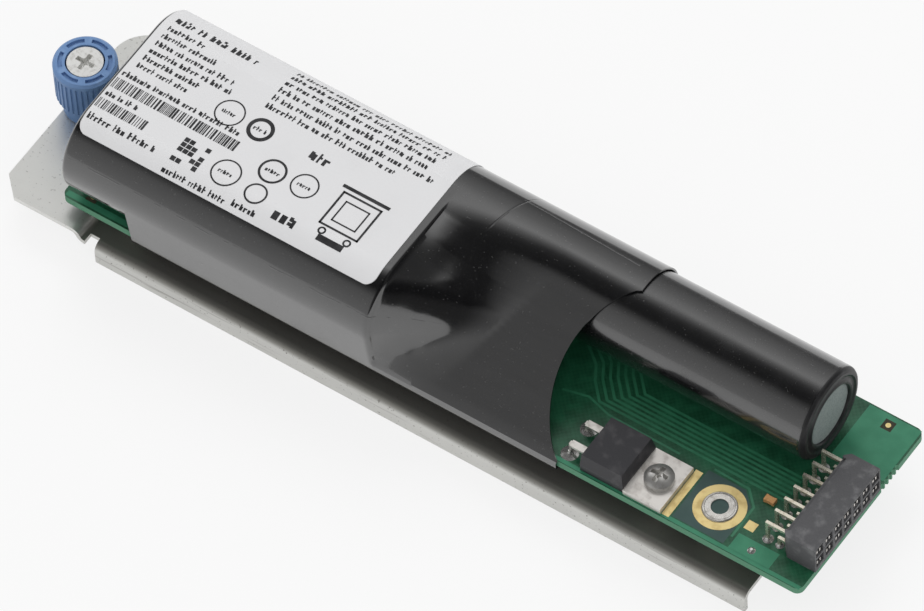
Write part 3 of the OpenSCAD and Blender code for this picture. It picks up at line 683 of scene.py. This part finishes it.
@dataclass
class ShrinkSleeve:
    """The black shrink sleeve, round the pair and the board, drawn in past the front cell."""

    shop: Workshop
    film_t: float = 0.35
    cell_film_r: float = 9.33
    corner_r: float = 0.25
    middle_share: float = 0.72
    start_x: float = 2.1
    mouth_r: float = 0.9
    mouth_lip: float = 1.2
    board_x: float = 16.0
    rim_x: float = 69.3
    rim_r: float = 0.9
    fold_front: float = 82.4
    fold_back: float = 93.0
    fold_clear: float = 3.0
    end_x: float = 109.0
    cut_mid: float = 17.0
    cut_reach: float = 17.0
    cut_depth: float = 7.6
    cut_r: float = 24.0
    sag: float = 1.5
    straight: float = 0.5
    dent: float = 0.6
    rounds: int = 264
    step: float = 0.6
    crease_deg: float = 42.0

    def __post_init__(self) -> None:
        """Reads the section's circles and corners from the frame."""
        datum = self.shop.datum
        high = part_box("main_sleeve")[1]
        self.radius = (high.z / MM - datum.corner.z) - datum.axis_z
        board_low, board_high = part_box("circuit_board")
        self.board_w = (board_high.y - board_low.y) / MM
        self.board_t = (board_high.z - board_low.z) / MM
        self.skin = self.radius - self.cell_film_r
        self.middle = np.array([(datum.front_y + datum.back_y) / 2, datum.axis_z * self.middle_share])

    def _support(self, theta: np.ndarray, front: bool, board: bool) -> np.ndarray:
        """How far the section reaches in each direction.

        Args:
            theta: directions, counted from +y towards +z.
            front: whether the front cell is inside.
            board: whether the board is inside.

        Returns:
            The reach from the section's own middle.
        """
        datum = self.shop.datum
        normals = np.stack([np.cos(theta), np.sin(theta)])
        rounds = [(datum.back_y, datum.axis_z, self.radius)]
        if front:
            rounds.append((datum.front_y, datum.axis_z, self.radius))
        if board:
            proud = self.skin - self.corner_r
            for y in (-proud, self.board_w + proud):
                for z in (proud, -self.board_t - proud):
                    rounds.append((y, z, self.corner_r))
        return np.max([(np.array([y, z]) - self.middle) @ normals + r for y, z, r in rounds], axis=0)

    def _section(self, front: bool, board: bool) -> np.ndarray:
        """The section as spots at even turns about its middle.

        Args:
            front: whether the front cell is inside.
            board: whether the board is inside.

        Returns:
            One row of y and z for each turn, from the front bottom over the top to the back bottom.
        """
        theta = np.linspace(0, 2 * np.pi, 1441)[:-1]
        reach = self._support(theta, front, board)
        turns = np.linspace(-np.pi * 0.5, np.pi * 1.5, self.rounds + 1)[:-1]
        cosine = np.cos(turns[:, None] - theta[None, :])
        far = np.where(cosine > 0.05, reach[None, :] / np.maximum(cosine, 0.05), 1e9).min(axis=1)
        return self.middle + np.stack([np.cos(turns), np.sin(turns)], axis=1) * far[:, None]

    def _left_end(self, pair: np.ndarray) -> list[list[Point]]:
        """The rings of the left end, round the pair only, with a rolled edge.

        Args:
            pair: the section round the pair.

        Returns:
            The rings, from the mouth to where the board goes in.
        """
        datum = self.shop.datum
        rows = []
        for k in range(7):
            turn = math.pi / 2 * k / 6
            inset = self.mouth_r * (1 - math.sin(turn)) + (self.mouth_lip if k == 0 else 0.0)
            x = self.start_x + self.mouth_r * (1 - math.cos(turn))
            ring = []
            for spot in pair:
                about = np.array([min(max(spot[0], datum.front_y), datum.back_y), datum.axis_z])
                way = (about - spot) / np.linalg.norm(about - spot)
                ring.append((x, *(spot + way * inset)))
            rows.append(ring)
        for x in np.linspace(self.start_x + self.mouth_r + 1.0, self.board_x, 12):
            rows.append([(float(x), *spot) for spot in pair])
        return rows

    def _over_pair(self, full: np.ndarray, skirt: np.ndarray) -> list[list[Point]]:
        """The rings round the pair and the board, rounded in at the front cell's end.

        Args:
            full: the section round both rows and the board.
            skirt: the section round the back row and the board.

        Returns:
            The rings, from where the board goes in to the rim.
        """
        axis = np.array([self.shop.datum.front_y, self.shop.datum.axis_z])
        turn_x = self.rim_x - self.rim_r
        places = [*np.arange(self.board_x, turn_x, 1.3), turn_x]
        places += [self.rim_x - 0.5, self.rim_x - 0.18, self.rim_x]
        gap = np.linalg.norm(full - skirt, axis=1)
        rows = []
        for x in places:
            into = max(0.0, x - turn_x)
            pinch = self.rim_r - math.sqrt(max(0.0, self.rim_r**2 - into * into))
            ring = []
            for spot, far in zip(full, gap):
                move = axis - spot
                move = move / max(1e-6, np.linalg.norm(move)) * pinch * min(1.0, far / 2.0)
                ring.append((x, *(spot + move)))
            rows.append(ring)
        return rows

    def _drawn_in(self, rim: np.ndarray, skirt: np.ndarray) -> list[list[Point]]:
        """The rings where the film comes down from the rim to a slanting fold, and on to its end.

        Args:
            rim: the last ring over the pair.
            skirt: the section round the back row and the board.

        Returns:
            The rings, from past the rim to the sleeve's end.
        """
        settled = self.fold_back + self.fold_clear
        places = [*np.arange(self.rim_x + self.step, settled, self.step)]
        places += [*np.arange(settled + 0.8, self.end_x, 1.1), self.end_x]
        rows = []
        for x in places:
            ring = []
            for high, low in zip(rim, skirt):
                share = min(1.0, max(0.0, (low[0] - 2.0) / 20.0))
                fold = self.fold_front + (self.fold_back - self.fold_front) * share**1.1
                t = min(1.0, max(0.0, (x - self.rim_x) / (fold - self.rim_x)))
                away = np.linalg.norm(high - low)
                sunk = min(1.0, away / 5.0)
                hollow = 1 - (1 - t) ** (1.0 + self.sag * sunk)
                spot = high + (low - high) * (hollow + (t - hollow) * self.straight)
                wave = noise.noise(Vector((x * 0.16, spot[0] * 0.14, spot[1] * 0.14)))
                push = self.dent * sunk * math.sin(math.pi * t) * wave * min(1.0, away / 3.0)
                out = (spot - self.middle) / np.linalg.norm(spot - self.middle)
                ring.append((x, *(spot + out * min(push, 0.0))))
            rows.append(ring)
        return rows

    def _cut_end(self, rows: list[list[Point]]) -> None:
        """Pulls the skirt's spots back to its curved end.

        Args:
            rows: the sleeve's rings, changed in place.
        """
        datum = self.shop.datum
        lean = math.asin(self.cell_film_r / math.hypot(datum.back_y, datum.axis_z))
        slope = math.atan2(datum.axis_z, datum.back_y) + lean
        hub = self.end_x - self.cut_depth + self.cut_r
        for ring in rows:
            for k, (x, y, z) in enumerate(ring):
                up = y * math.cos(slope) + z * math.sin(slope) if z > 0.2 else 0.0
                off = up - self.cut_mid
                if y < datum.back_y and x > hub - self.cut_r - 0.01 and off < self.cut_reach:
                    inside = abs(off) < self.cut_r
                    edge = hub - math.sqrt(self.cut_r**2 - off * off) if inside else self.end_x
                    ring[k] = (min(x, edge, self.end_x), y, z)

    def _skin(self, name: str, rows: list[list[Point]], joint: int) -> None:
        """Casts a tube of rings with the film's thickness turned inwards.

        Args:
            name: the piece's name.
            rows: the rings.
            joint: the ring after which the section changes, where no face is made.
        """
        count = len(rows[0])
        spots = [spot for ring in rows for spot in ring]
        faces = []
        for i in range(len(rows) - 1):
            for k in range(count if i != joint else 0):
                j = (k + 1) % count
                a, b, c, e = i * count + k, i * count + j, (i + 1) * count + j, (i + 1) * count + k
                if abs(spots[a][0] - spots[e][0]) + abs(spots[b][0] - spots[c][0]) > 1e-4:
                    faces.append((a, b, c, e))
        made = self.shop.cast(name, spots, faces, Shop.SLEEVE, instead_of=("main_sleeve",))
        work = bmesh.new()
        work.from_mesh(made.data)
        bmesh.ops.remove_doubles(work, verts=work.verts, dist=2e-6)
        bmesh.ops.recalc_face_normals(work, faces=work.faces)
        work.to_mesh(made.data)
        work.free()
        thick = made.modifiers.new("film", "SOLIDIFY")
        thick.thickness, thick.offset = self.film_t * MM, -1.0
        bpy.context.view_layer.update()
        solid = bpy.data.meshes.new_from_object(made.evaluated_get(bpy.context.evaluated_depsgraph_get()))
        made.modifiers.clear()
        made.data = solid
        solid.shade_smooth()
        solid.set_sharp_from_angle(angle=math.radians(self.crease_deg))

    def build(self) -> None:
        """Makes the sleeve as one sheet."""
        full, skirt = self._section(True, True), self._section(False, True)
        rows = self._left_end(self._section(True, False))
        joint = len(rows) - 1
        rows += self._over_pair(full, skirt)
        rim = np.array([[y, z] for _, y, z in rows[-1]])
        rows += self._drawn_in(rim, skirt)
        self._cut_end(rows)
        self._skin("main_sleeve_skin", rows, joint)


@dataclass
class RolledFilmEnd:
    """The film of the third cell where it is rolled over the cell's end, with its pressed grooves."""

    shop: Workshop
    count: int = 72
    profile: tuple[tuple[float, float], ...] = (
        (5.95, -0.25), (6.0, 0.12), (6.2, 0.34), (6.6, 0.40), (7.0, 0.16), (7.3, 0.08), (7.6, 0.14),
        (8.0, 0.36), (8.5, 0.34), (8.95, 0.05), (9.2, -0.35), (9.3, -0.9),
    )

    def build(self) -> None:
        """Makes the rolled ring."""
        d = self.shop.datum
        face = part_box("end_sleeve")[1].x / MM - d.corner.x
        ring = Patchwork()
        for (r0, x0), (r1, x1) in zip(self.profile, self.profile[1:]):
            inner = [(face + x0, y, z) for y, z in circle(d.back_y, d.axis_z, r0, self.count)]
            outer = [(face + x1, y, z) for y, z in circle(d.back_y, d.axis_z, r1, self.count)]
            ring.band(outer, inner)
        self.shop.cast("rolled_film_end", ring.spots, ring.faces, Shop.ROLLED_FILM, crease_deg=60.0)


@dataclass
class PackLabel:
    """The pale label over the pair, with generic rows, bars and rings as its print."""

    shop: Workshop
    radius: float = field(init=False)
    lift: float = 0.035

    def __post_init__(self) -> None:
        """Reads the label's outer radius from the frame."""
        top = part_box("label")[1].z / MM - self.shop.datum.corner.z
        self.radius = top - self.shop.datum.axis_z

    def spot(self, x: float, s: float) -> Point:
        """A spot on the label.

        Args:
            x: its place along the pack.
            s: its way round the pack from the front cell's top.

        Returns:
            The spot in board millimetres.
        """
        d, r = self.shop.datum, self.radius + self.lift
        pitch = d.back_y - d.front_y
        if 0 <= s <= pitch:
            return (x, d.front_y + s, d.axis_z + r)
        about, turn = (d.front_y, s / self.radius) if s < 0 else (d.back_y, (s - pitch) / self.radius)
        return (x, about + r * math.sin(turn), d.axis_z + r * math.cos(turn))

    def tile(self, ink: Patchwork, x0: float, x1: float, s0: float, s1: float) -> None:
        """A filled field from x0 to x1 along the pack and from s0 to s1 round it."""
        ink.patch([self.spot(x0, s0), self.spot(x1, s0), self.spot(x1, s1), self.spot(x0, s1)])

    def row(self, ink: Patchwork, x0: float, x1: float, s: float, tall: float, dice: random.Random) -> None:
        """A row of small ticks in groups, as dense as print but of no characters.

        Args:
            ink: the patches that it joins.
            x0: its start.
            x1: its end.
            s: its foot.
            tall: its height.
            dice: the source of chance.
        """
        x = x0
        while x < x1:
            for _ in range(dice.randint(2, 8)):
                wide = dice.uniform(0.30, 0.62) * tall
                low, high = dice.choice(((0, 1), (0, 0.62), (0, 0.62), (0.1, 0.75), (0, 0.9)))
                if x + wide > x1:
                    break
                self.tile(ink, x, x + wide * 0.5, s + low * tall, s + high * tall)
                foot = s + dice.choice((0, 0.42)) * tall
                self.tile(ink, x + wide * 0.5, x + wide * 0.95, foot, s + 0.62 * tall)
                x += wide + 0.14 * tall
            x += 0.42 * tall

    def bars(self, ink: Patchwork, x0: float, x1: float, s: float, tall: float, dice: random.Random) -> None:
        """A band of bars of uneven width that encodes nothing.

        Args:
            ink: the patches that it joins.
            x0: its start.
            x1: its end.
            s: its foot.
            tall: its height.
            dice: the source of chance.
        """
        x = x0
        while x < x1:
            wide = dice.choice((0.14, 0.14, 0.28, 0.42))
            self.tile(ink, x, x + wide, s, s + tall)
            x += wide + dice.choice((0.14, 0.2, 0.36))

    def ring(self, ink: Patchwork, x: float, s: float, radius: float, line: float) -> None:
        """A drawn ring."""
        ink.band(*([self.spot(*p) for p in circle(x, s, r)] for r in (radius - line, radius)))

    def frame_line(
        self, ink: Patchwork, x0: float, x1: float, s0: float, s1: float, line: float
    ) -> None:
        """A drawn box.

        Args:
            ink: the patches that it joins.
            x0: its start along the pack.
            x1: its end.
            s0: its start round the pack.
            s1: its end.
            line: the line's width.
        """
        self.tile(ink, x0, x1, s0, s0 + line)
        self.tile(ink, x0, x1, s1 - line, s1)
        self.tile(ink, x0, x0 + line, s0, s1)
        self.tile(ink, x1 - line, x1, s0, s1)

    def build(self) -> None:
        """Dresses the sheet and lays the print on it."""
        self.shop.dress(Shop.PAPER, "label")
        dice = random.Random(7)
        ink = Patchwork()
        self.row(ink, 4.6, 22.6, 23.4, 1.9, dice)
        for k, end in enumerate((13.5, 17.0, 22.0, 23.0, 17.5, 16.0)):
            self.row(ink, 4.6, end, 21.0 - 1.95 * k, 1.25, dice)
        for k in range(6):
            self.row(ink, 29.4, 64.5 - (6.5 if k == 5 else dice.uniform(0, 2.5)), 26.6 - 2.05 * k, 1.3, dice)
        self.row(ink, 3.4, 29.0, 8.4, 1.3, dice)
        self.bars(ink, 3.2, 30.0, 5.2, 2.4, dice)
        self.row(ink, 3.4, 11.0, 3.2, 1.2, dice)
        self.bars(ink, 3.2, 13.4, 0.2, 2.2, dice)
        self.row(ink, 3.4, 18.8, -2.6, 1.4, dice)
        for i in range(5):
            for j in range(5):
                if dice.random() < 0.62:
                    self.tile(ink, 21.4 + i * 1.15, 22.4 + i * 1.15, -2.2 + j * 1.15, -1.25 + j * 1.15)
        self.row(ink, 21.2, 35.0, -4.9, 1.3, dice)
        for x, s, radius, line in (
            (24.9, 11.9, 2.9, 0.28),
            (31.7, 11.8, 2.6, 0.75),
            (31.9, 0.7, 2.9, 0.3),
            (38.8, 5.4, 2.7, 0.45),
            (45.5, 5.8, 2.7, 0.3),
        ):
            self.ring(ink, x, s, radius, line)
            self.row(ink, x - radius * 0.55, x + radius * 0.6, s - 0.5, 0.95, dice)
        self.row(ink, 42.3, 47.0, 11.2, 2.4, dice)
        self.ring(ink, 39.0, -0.2, 2.2, 0.35)
        self.row(ink, 36.2, 42.0, -4.4, 1.3, dice)
        self.row(ink, 44.0, 49.8, -3.0, 2.7, dice)
        self.frame_line(ink, 52.0, 60.5, 0.6, 8.8, 0.42)
        self.frame_line(ink, 53.6, 58.9, 2.2, 7.2, 0.3)
        self.tile(ink, 51.2, 61.3, 9.4, 10.1)
        self.tile(ink, 53.5, 59.0, -2.6, -1.3)
        self.ring(ink, 53.6, -0.5, 0.8, 0.35)
        self.ring(ink, 59.0, -0.5, 0.8, 0.35)
        self.shop.cast("label_print", ink.spots, ink.faces, Shop.INK, crease_deg=80.0)


@dataclass
class CircuitBoard:
    """The long green board with its bare pads, copper under mask and solder."""

    shop: Workshop
    skin: float = 0.02
    ends_x: tuple[float, float] = (138.3, 11.0)
    sides_y: tuple[float, float] = (7.3, 33.2)
    land_r: tuple[float, float] = (3.12, 4.9)
    target_half: float = 1.1
    target_r: float = 0.52
    runs: int = 7
    run_w: float = 0.52
    short_run_w: float = 0.45
    pin_count: int = 7
    pin_first_y: float = 6.3
    pin_pitch: float = 3.0
    rim: tuple[tuple[float, float], ...] = (
        (3.3, 0.02), (3.27, 0.2), (3.1, 0.34), (2.85, 0.36), (2.62, 0.24), (2.5, 0.09), (1.72, 0.05),
    )

    def flat(self, outline: Sequence[tuple[float, float]], rise: float = 1.0) -> list[Point]:
        """An outline laid on the board."""
        return [(x, y, self.skin * rise) for x, y in outline]

    def trace(self, work: Patchwork, route: Sequence[tuple[float, float]], wide: float) -> None:
        """A run of copper of even width along a route.

        Args:
            work: the patches that it joins.
            route: its corners.
            wide: its width.
        """
        path = [Vector(p) for p in route]
        left, right = [], []
        for i, point in enumerate(path):
            before = (point - path[i - 1]).normalized() if i else (path[1] - point).normalized()
            after = (path[i + 1] - point).normalized() if i + 1 < len(path) else before
            along = (before + after).normalized()
            side = Vector((-along.y, along.x)) * (wide / 2 / max(0.3, along.dot(before)))
            left.append((*(point + side), self.skin))
            right.append((*(point - side), self.skin))
        work.band(left, right, closed=False)

    def solder_cone(self, work: Patchwork, x: float, y: float, radius: float, tall: float) -> None:
        """A concave fillet of solder climbing a pin.

        Args:
            work: the patches that it joins.
            x: the pin's place along the board.
            y: the pin's place across it.
            radius: the fillet's foot.
            tall: its height.
        """
        rings = []
        for k in range(6):
            t = k / 5
            r = radius * (1 - t) ** 1.7 + 0.28 * t
            rings.append([(px, py, 0.015 + tall * t) for px, py in circle(x, y, r, 18)])
        for low, high in zip(rings, rings[1:]):
            work.band(high, low)
        work.patch(rings[-1])

    def lands(self) -> None:
        """Lays the gold lands, pads and targets."""
        gold, dark, dots = Patchwork(), Patchwork(), Patchwork()
        for x in self.ends_x:
            for y in self.sides_y:
                gold.band(*(self.flat(circle(x, y, r), 2) for r in self.land_r))
        for pad in ((144.2, 146.2, 5.9, 7.9), (130.3, 131.8, 0.6, 11.8)):
            gold.patch(self.flat(box_outline(*pad), 2))
        half = self.target_half
        for x, y in ((153.8, 38.1), (5.3, 2.6)):
            dark.patch(self.flat(box_outline(x - half, x + half, y - half, y + half), 2))
            dots.patch(self.flat(circle(x, y, self.target_r, 24), 3))
        self.shop.cast("board_gold_pads", gold.spots, gold.faces, Shop.GOLD)
        self.shop.cast("board_target_windows", dark.spots, dark.faces, Shop.DARK_WINDOW)
        self.shop.cast("board_targets", dots.spots, dots.faces, Shop.GOLD)

    def copper(self) -> None:
        """Lays the copper that shows through the mask, and paler fields of mask: bare laminate near the
        connector, and painted light along the front edge and at the back right corner, where the board is
        lit.
        """
        runs, pour, pale_and_lit_fields = Patchwork(), Patchwork(), Patchwork()
        for k in range(self.runs):
            y, bend = 20.4 - 0.95 * k, 113.6 - 1.0 * k
            turn = (bend - 5.0, y + 6.4)
            self.trace(runs, [turn, (bend - 3.2, y + 3.4), (bend, y), (147.6, y)], self.run_w)
            self.trace(runs, [(bend - 8.6, y + 9.2), turn], self.run_w)
        for route in (
            [(133.0, 13.6), (140.5, 13.4), (143.4, 10.5), (143.5, 3.2)],
            [(100.5, 13.4), (105.5, 14.6), (110.5, 13.2), (126.0, 13.0)],
        ):
            self.trace(runs, route, self.short_run_w)
        pour.patch(self.flat([(132.2, 1.2), (143.0, 1.2), (143.0, 10.2), (140.2, 12.9), (132.2, 12.9)], 0.6))
        # Paler fields: mask over bare laminate near the connector; the front edge strips and the back right
        # corner are painted light where the board is lit.
        for area in (
            (100.0, 159.7, 0.15, 0.95),
            (144.2, 152.8, 0.9, 4.6),
            (148.6, 159.6, 27.5, 40.2),
            (0.6, 15.6, 0.4, 1.6),
        ):
            pale_and_lit_fields.patch(self.flat(box_outline(*area), 1.5))
        self.shop.cast("board_copper_runs", runs.spots, runs.faces, Shop.COPPER_UNDER_MASK)
        self.shop.cast("board_copper_pour", pour.spots, pour.faces, Shop.POUR)
        self.shop.cast("board_margins_and_painted_light", pale_and_lit_fields.spots, pale_and_lit_fields.faces, Shop.PALE_MASK_AND_PAINTED_LIGHT)

    def metal(self) -> None:
        """Makes the riveted rims and the solder."""
        rims, solder = Patchwork(), Patchwork()
        for y in self.sides_y:
            for (r0, z0), (r1, z1) in zip(self.rim, self.rim[1:]):
                inner = [(*p, z1) for p in circle(self.ends_x[0], y, r1)]
                rims.band(inner, [(*p, z0) for p in circle(self.ends_x[0], y, r0)])
        self.shop.cast("standoff_rims", rims.spots, rims.faces, Shop.NICKEL)
        for k in range(self.pin_count):
            y = self.pin_first_y + self.pin_pitch * k
            self.solder_cone(solder, 149.2, y, 1.05, 0.9)
            self.solder_cone(solder, 151.7, y, 0.85, 0.7)
        for x, y, radius, tall in ((109.4, 2.6, 1.7, 0.9), (109.4, 8.8, 1.7, 0.9), (148.1, 2.6, 0.8, 0.5)):
            self.solder_cone(solder, x, y, radius, tall)
        self.shop.cast("solder_joints", solder.spots, solder.faces, Shop.SOLDER)

    def build(self) -> None:
        """Dresses the board and lays its metal."""
        self.shop.dress(Shop.MASK, "circuit_board")
        self.shop.dress(Shop.NICKEL, "board_standoffs")
        self.lands()
        self.copper()
        self.metal()


@dataclass
class SocketTips:
    """The bright contact springs seen in the connector's sockets."""

    shop: Workshop
    first_y: float = 6.3
    pitch: float = 3.0
    count: int = 7
    rows: tuple[float, float] = (0.27, 0.73)
    gap: float = 0.25
    wide: float = 0.75
    tall: float = 0.8
    deep: tuple[float, float] = (0.25, 1.2)
    taper: float = 0.12

    def blade(self, tips: Patchwork, face: float, y: float, z: float, side: int) -> None:
        """Makes one bent blade.

        Args:
            tips: the patches that it joins.
            face: the connector's open face.
            y: the socket's middle.
            z: the socket's height.
            side: minus one or one, for the two blades.
        """
        near, far = (face - d for d in self.deep)
        low, high = z - self.tall / 2, z + self.tall / 2
        y0, y1 = y + side * self.gap, y + side * (self.gap + self.wide / 2)
        for x, lift in ((near, 0.0), (far, self.taper)):
            tips.patch([(x, y0, low + lift), (x, y1, low), (x, y1, high), (x, y0, high - lift)])
        tips.patch([(near, y1, low), (far, y1, low), (far, y1, high), (near, y1, high)])

    def build(self) -> None:
        """Makes a pair of blades in every socket."""
        corner = self.shop.datum.corner
        low, high = (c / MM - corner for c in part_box("connector_housing"))
        tips = Patchwork()
        for share in self.rows:
            for k in range(self.count):
                for side in (-1, 1):
                    z = low.z + (high.z - low.z) * share
                    self.blade(tips, high.x, self.first_y + self.pitch * k, z, side)
        self.shop.cast("socket_tips", tips.spots, tips.faces, Shop.TIN)


@dataclass
class FrameFinishes:
    """The frame's own nodes that keep their shape, dressed by sub-assembly."""

    shop: Workshop

    def build(self) -> None:
        """Dresses every node that no mesh here stands for."""
        dress = self.shop.dress
        dress(Shop.ZINC, "mounting_bracket")
        dress(Shop.CAN, "cell_front", "cell_back_left", "cell_back_right")
        dress(Shop.CELL_FILM, "cell_wrap_front", "cell_wrap_back")
        dress(Shop.END_FILM, "end_sleeve")
        dress(Shop.PAPER_RING, "insulator_rings")
        dress(Shop.DISC, "end_disc")
        dress(Shop.NICKEL, "positive_strip", "negative_strip", "end_strip")
        dress(Shop.HARDWARE, "resistor_screw", "resistor_nut")
        dress(Shop.FOAM, "foam_pads", "cell_spacer")
        dress(Shop.HOUSING, "connector_housing")
        dress(Shop.CONTACT, "contacts_upper", "contacts_lower")
        dress(Shop.EPOXY, "resistor_body")
        dress(Shop.TIN, "resistor_flag", "resistor_leads")
        dress(Shop.TAN, "chip_capacitor")
        dress(Shop.BLUE, "thumbscrew_knob")
        dress(Shop.HEAD, "thumbscrew_screw")
        dress(Shop.NYLON, "retaining_washer")


@dataclass
class Studio:
    """Floor, lamps, backdrop and camera."""

    azimuth: float = 37.86
    elevation: float = 54.75
    roll: float = -4.33
    lens_mm: float = 446.45
    distance: float = 2.057
    target: Point = (0.0027, -0.0006, 0.0116)

    def camera(self) -> None:
        """Sets up the long-lens camera."""
        az, el, roll = (math.radians(a) for a in (self.azimuth, self.elevation, self.roll))
        back = Vector((math.sin(az) * math.cos(el), -math.cos(az) * math.cos(el), math.sin(el)))
        right = Vector((math.cos(az), math.sin(az), 0.0))
        up = back.cross(right)
        across = right * math.cos(roll) + up * math.sin(roll)
        upward = up * math.cos(roll) - right * math.sin(roll)
        lens = bpy.data.cameras.new("camera")
        lens.lens, lens.sensor_width = self.lens_mm, 36.0
        lens.clip_start, lens.clip_end = 0.05, 30.0
        camera = bpy.data.objects.new("camera", lens)
        turn = Matrix((across, upward, back)).transposed().to_4x4()
        camera.matrix_world = Matrix.Translation(Vector(self.target) + back * self.distance) @ turn
        bpy.context.scene.collection.objects.link(camera)
        bpy.context.scene.camera = camera

    def floor(self) -> None:
        """Lays the pale floor."""
        mesh = bpy.data.meshes.new("floor")
        size = 4.0
        corners = [(x, y, 0.0) for x, y in box_outline(-size, size, -size, size)]
        mesh.from_pydata(corners, [], [(0, 1, 2, 3)])
        sheet = bpy.data.materials.new("floor_sheet")
        sheet.use_nodes = True
        g = Graph(sheet.node_tree)
        matt = g.node("BsdfPrincipled", {}, {"Base Color": (0.80, 0.80, 0.80), "Roughness": 0.9})
        glow = g.node("Emission", {}, {"Color": (1.0, 1.0, 1.0), "Strength": 1.0})
        seen = g.node("LightPath", {}, {}, "Is Camera Ray")
        mirrored = g.node("LightPath", {}, {}, "Is Glossy Ray")
        through = g.node("LightPath", {}, {}, "Is Transmission Ray")
        amount = (seen * 0.80 + mirrored * 0.45 + through * 0.80).clamped()
        lit = g.node("MixShader", {}, {0: amount, 1: matt, 2: glow})
        below = g.node("NewGeometry", {}, {}, "Backfacing")
        g.finish(g.node("MixShader", {}, {0: below, 1: lit, 2: g.node("BsdfTransparent")}))
        mesh.materials.append(sheet)
        floor = bpy.data.objects.new("floor", mesh)
        bpy.context.scene.collection.objects.link(floor)
        floor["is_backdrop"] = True

    def world(self) -> None:
        """A plain dome, white to the eye and shaded like a dim studio in reflections."""
        world = bpy.data.worlds.new("studio")
        bpy.context.scene.world = world
        world.use_nodes = True
        g = Graph(world.node_tree)
        way = g.node("TexCoord", {}, {}, "Generated")
        y = g.node("SeparateXYZ", {}, {0: way}, "Y")
        z = g.node("SeparateXYZ", {}, {0: way}, "Z")
        angle = g.node("Math", {"operation": "ARCTAN2"}, {0: 0.0 - y, 1: z})
        turn = angle / (2 * math.pi) + 0.5
        x = g.node("SeparateXYZ", {}, {0: way}, "X")
        aside = 1.0 - g.step(x, 0.12, 0.5) * 0.88
        dome = g.ramp(
            turn,
            *((0.5 + degrees / 360, level) for degrees, level in (
                (-150, 0.30), (-100, 0.18), (-80, 0.18), (-60, 0.39), (-45, 0.55), (-30, 0.80), (-20, 1.0),
                (-10, 0.43), (0, 0.10), (10, 0.04), (30, 0.015), (40, 0.20), (50, 0.40), (60, 0.45),
                (80, 0.55), (100, 0.60), (120, 0.90), (150, 1.0),
            )),
        )
        seen = g.node("LightPath", {}, {}, "Is Camera Ray")
        mirrored = g.node("LightPath", {}, {}, "Is Glossy Ray")
        light = g.node("Background", {}, {"Color": (1.0, 1.0, 1.0), "Strength": 0.72})
        backdrop = g.node("Background", {}, {"Color": (1.0, 1.0, 1.0), "Strength": 1.0})
        mirror = g.node("Background", {}, {"Color": dome, "Strength": aside})
        shown = g.node("MixShader", {}, {0: seen, 1: light, 2: backdrop})
        g.finish(g.node("MixShader", {}, {0: mirrored, 1: shown, 2: mirror}), "World")

    def lamp(self, name: str, spot: Point, size: float, watts: float) -> None:
        """Hangs a square soft lamp aimed at the module.

        Args:
            name: the lamp's name.
            spot: where it hangs, in metres.
            size: the length of its side.
            watts: its power.
        """
        data = bpy.data.lights.new(name, "AREA")
        data.shape, data.size, data.energy = "SQUARE", size, watts
        lamp = bpy.data.objects.new(name, data)
        lamp.location = spot
        lamp.visible_glossy = False
        lamp.rotation_euler = (Vector(self.target) - Vector(spot)).to_track_quat("-Z", "Y").to_euler()
        bpy.context.scene.collection.objects.link(lamp)

    def build(self) -> None:
        """Sets the whole studio."""
        bpy.context.scene.view_settings.view_transform = "Standard"
        self.camera()
        self.floor()
        self.world()
        self.lamp("lamp_back_left", (-0.7, 0.9, 1.4), 0.9, 9.0)
        self.lamp("lamp_front_right", (1.1, -0.6, 1.1), 0.9, 3.0)


def main() -> None:
    """Builds the studio and every sub-assembly, then measures the result."""
    logging.basicConfig(level=logging.INFO, format="%(message)s")
    studio = Studio()
    studio.build()
    shop = Workshop(Datum())
    FrameFinishes(shop).build()
    CircuitBoard(shop).build()
    ShrinkSleeve(shop).build()
    RolledFilmEnd(shop).build()
    PackLabel(shop).build()
    SocketTips(shop).build()
    bpy.context.view_layer.update()
    boxes = {"cad": CAD_BOX, "visual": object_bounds()}
    sizes = {name: [[float(v) for v in corner] for corner in box] for name, box in boxes.items()}


if __name__ == "__main__":
    main()
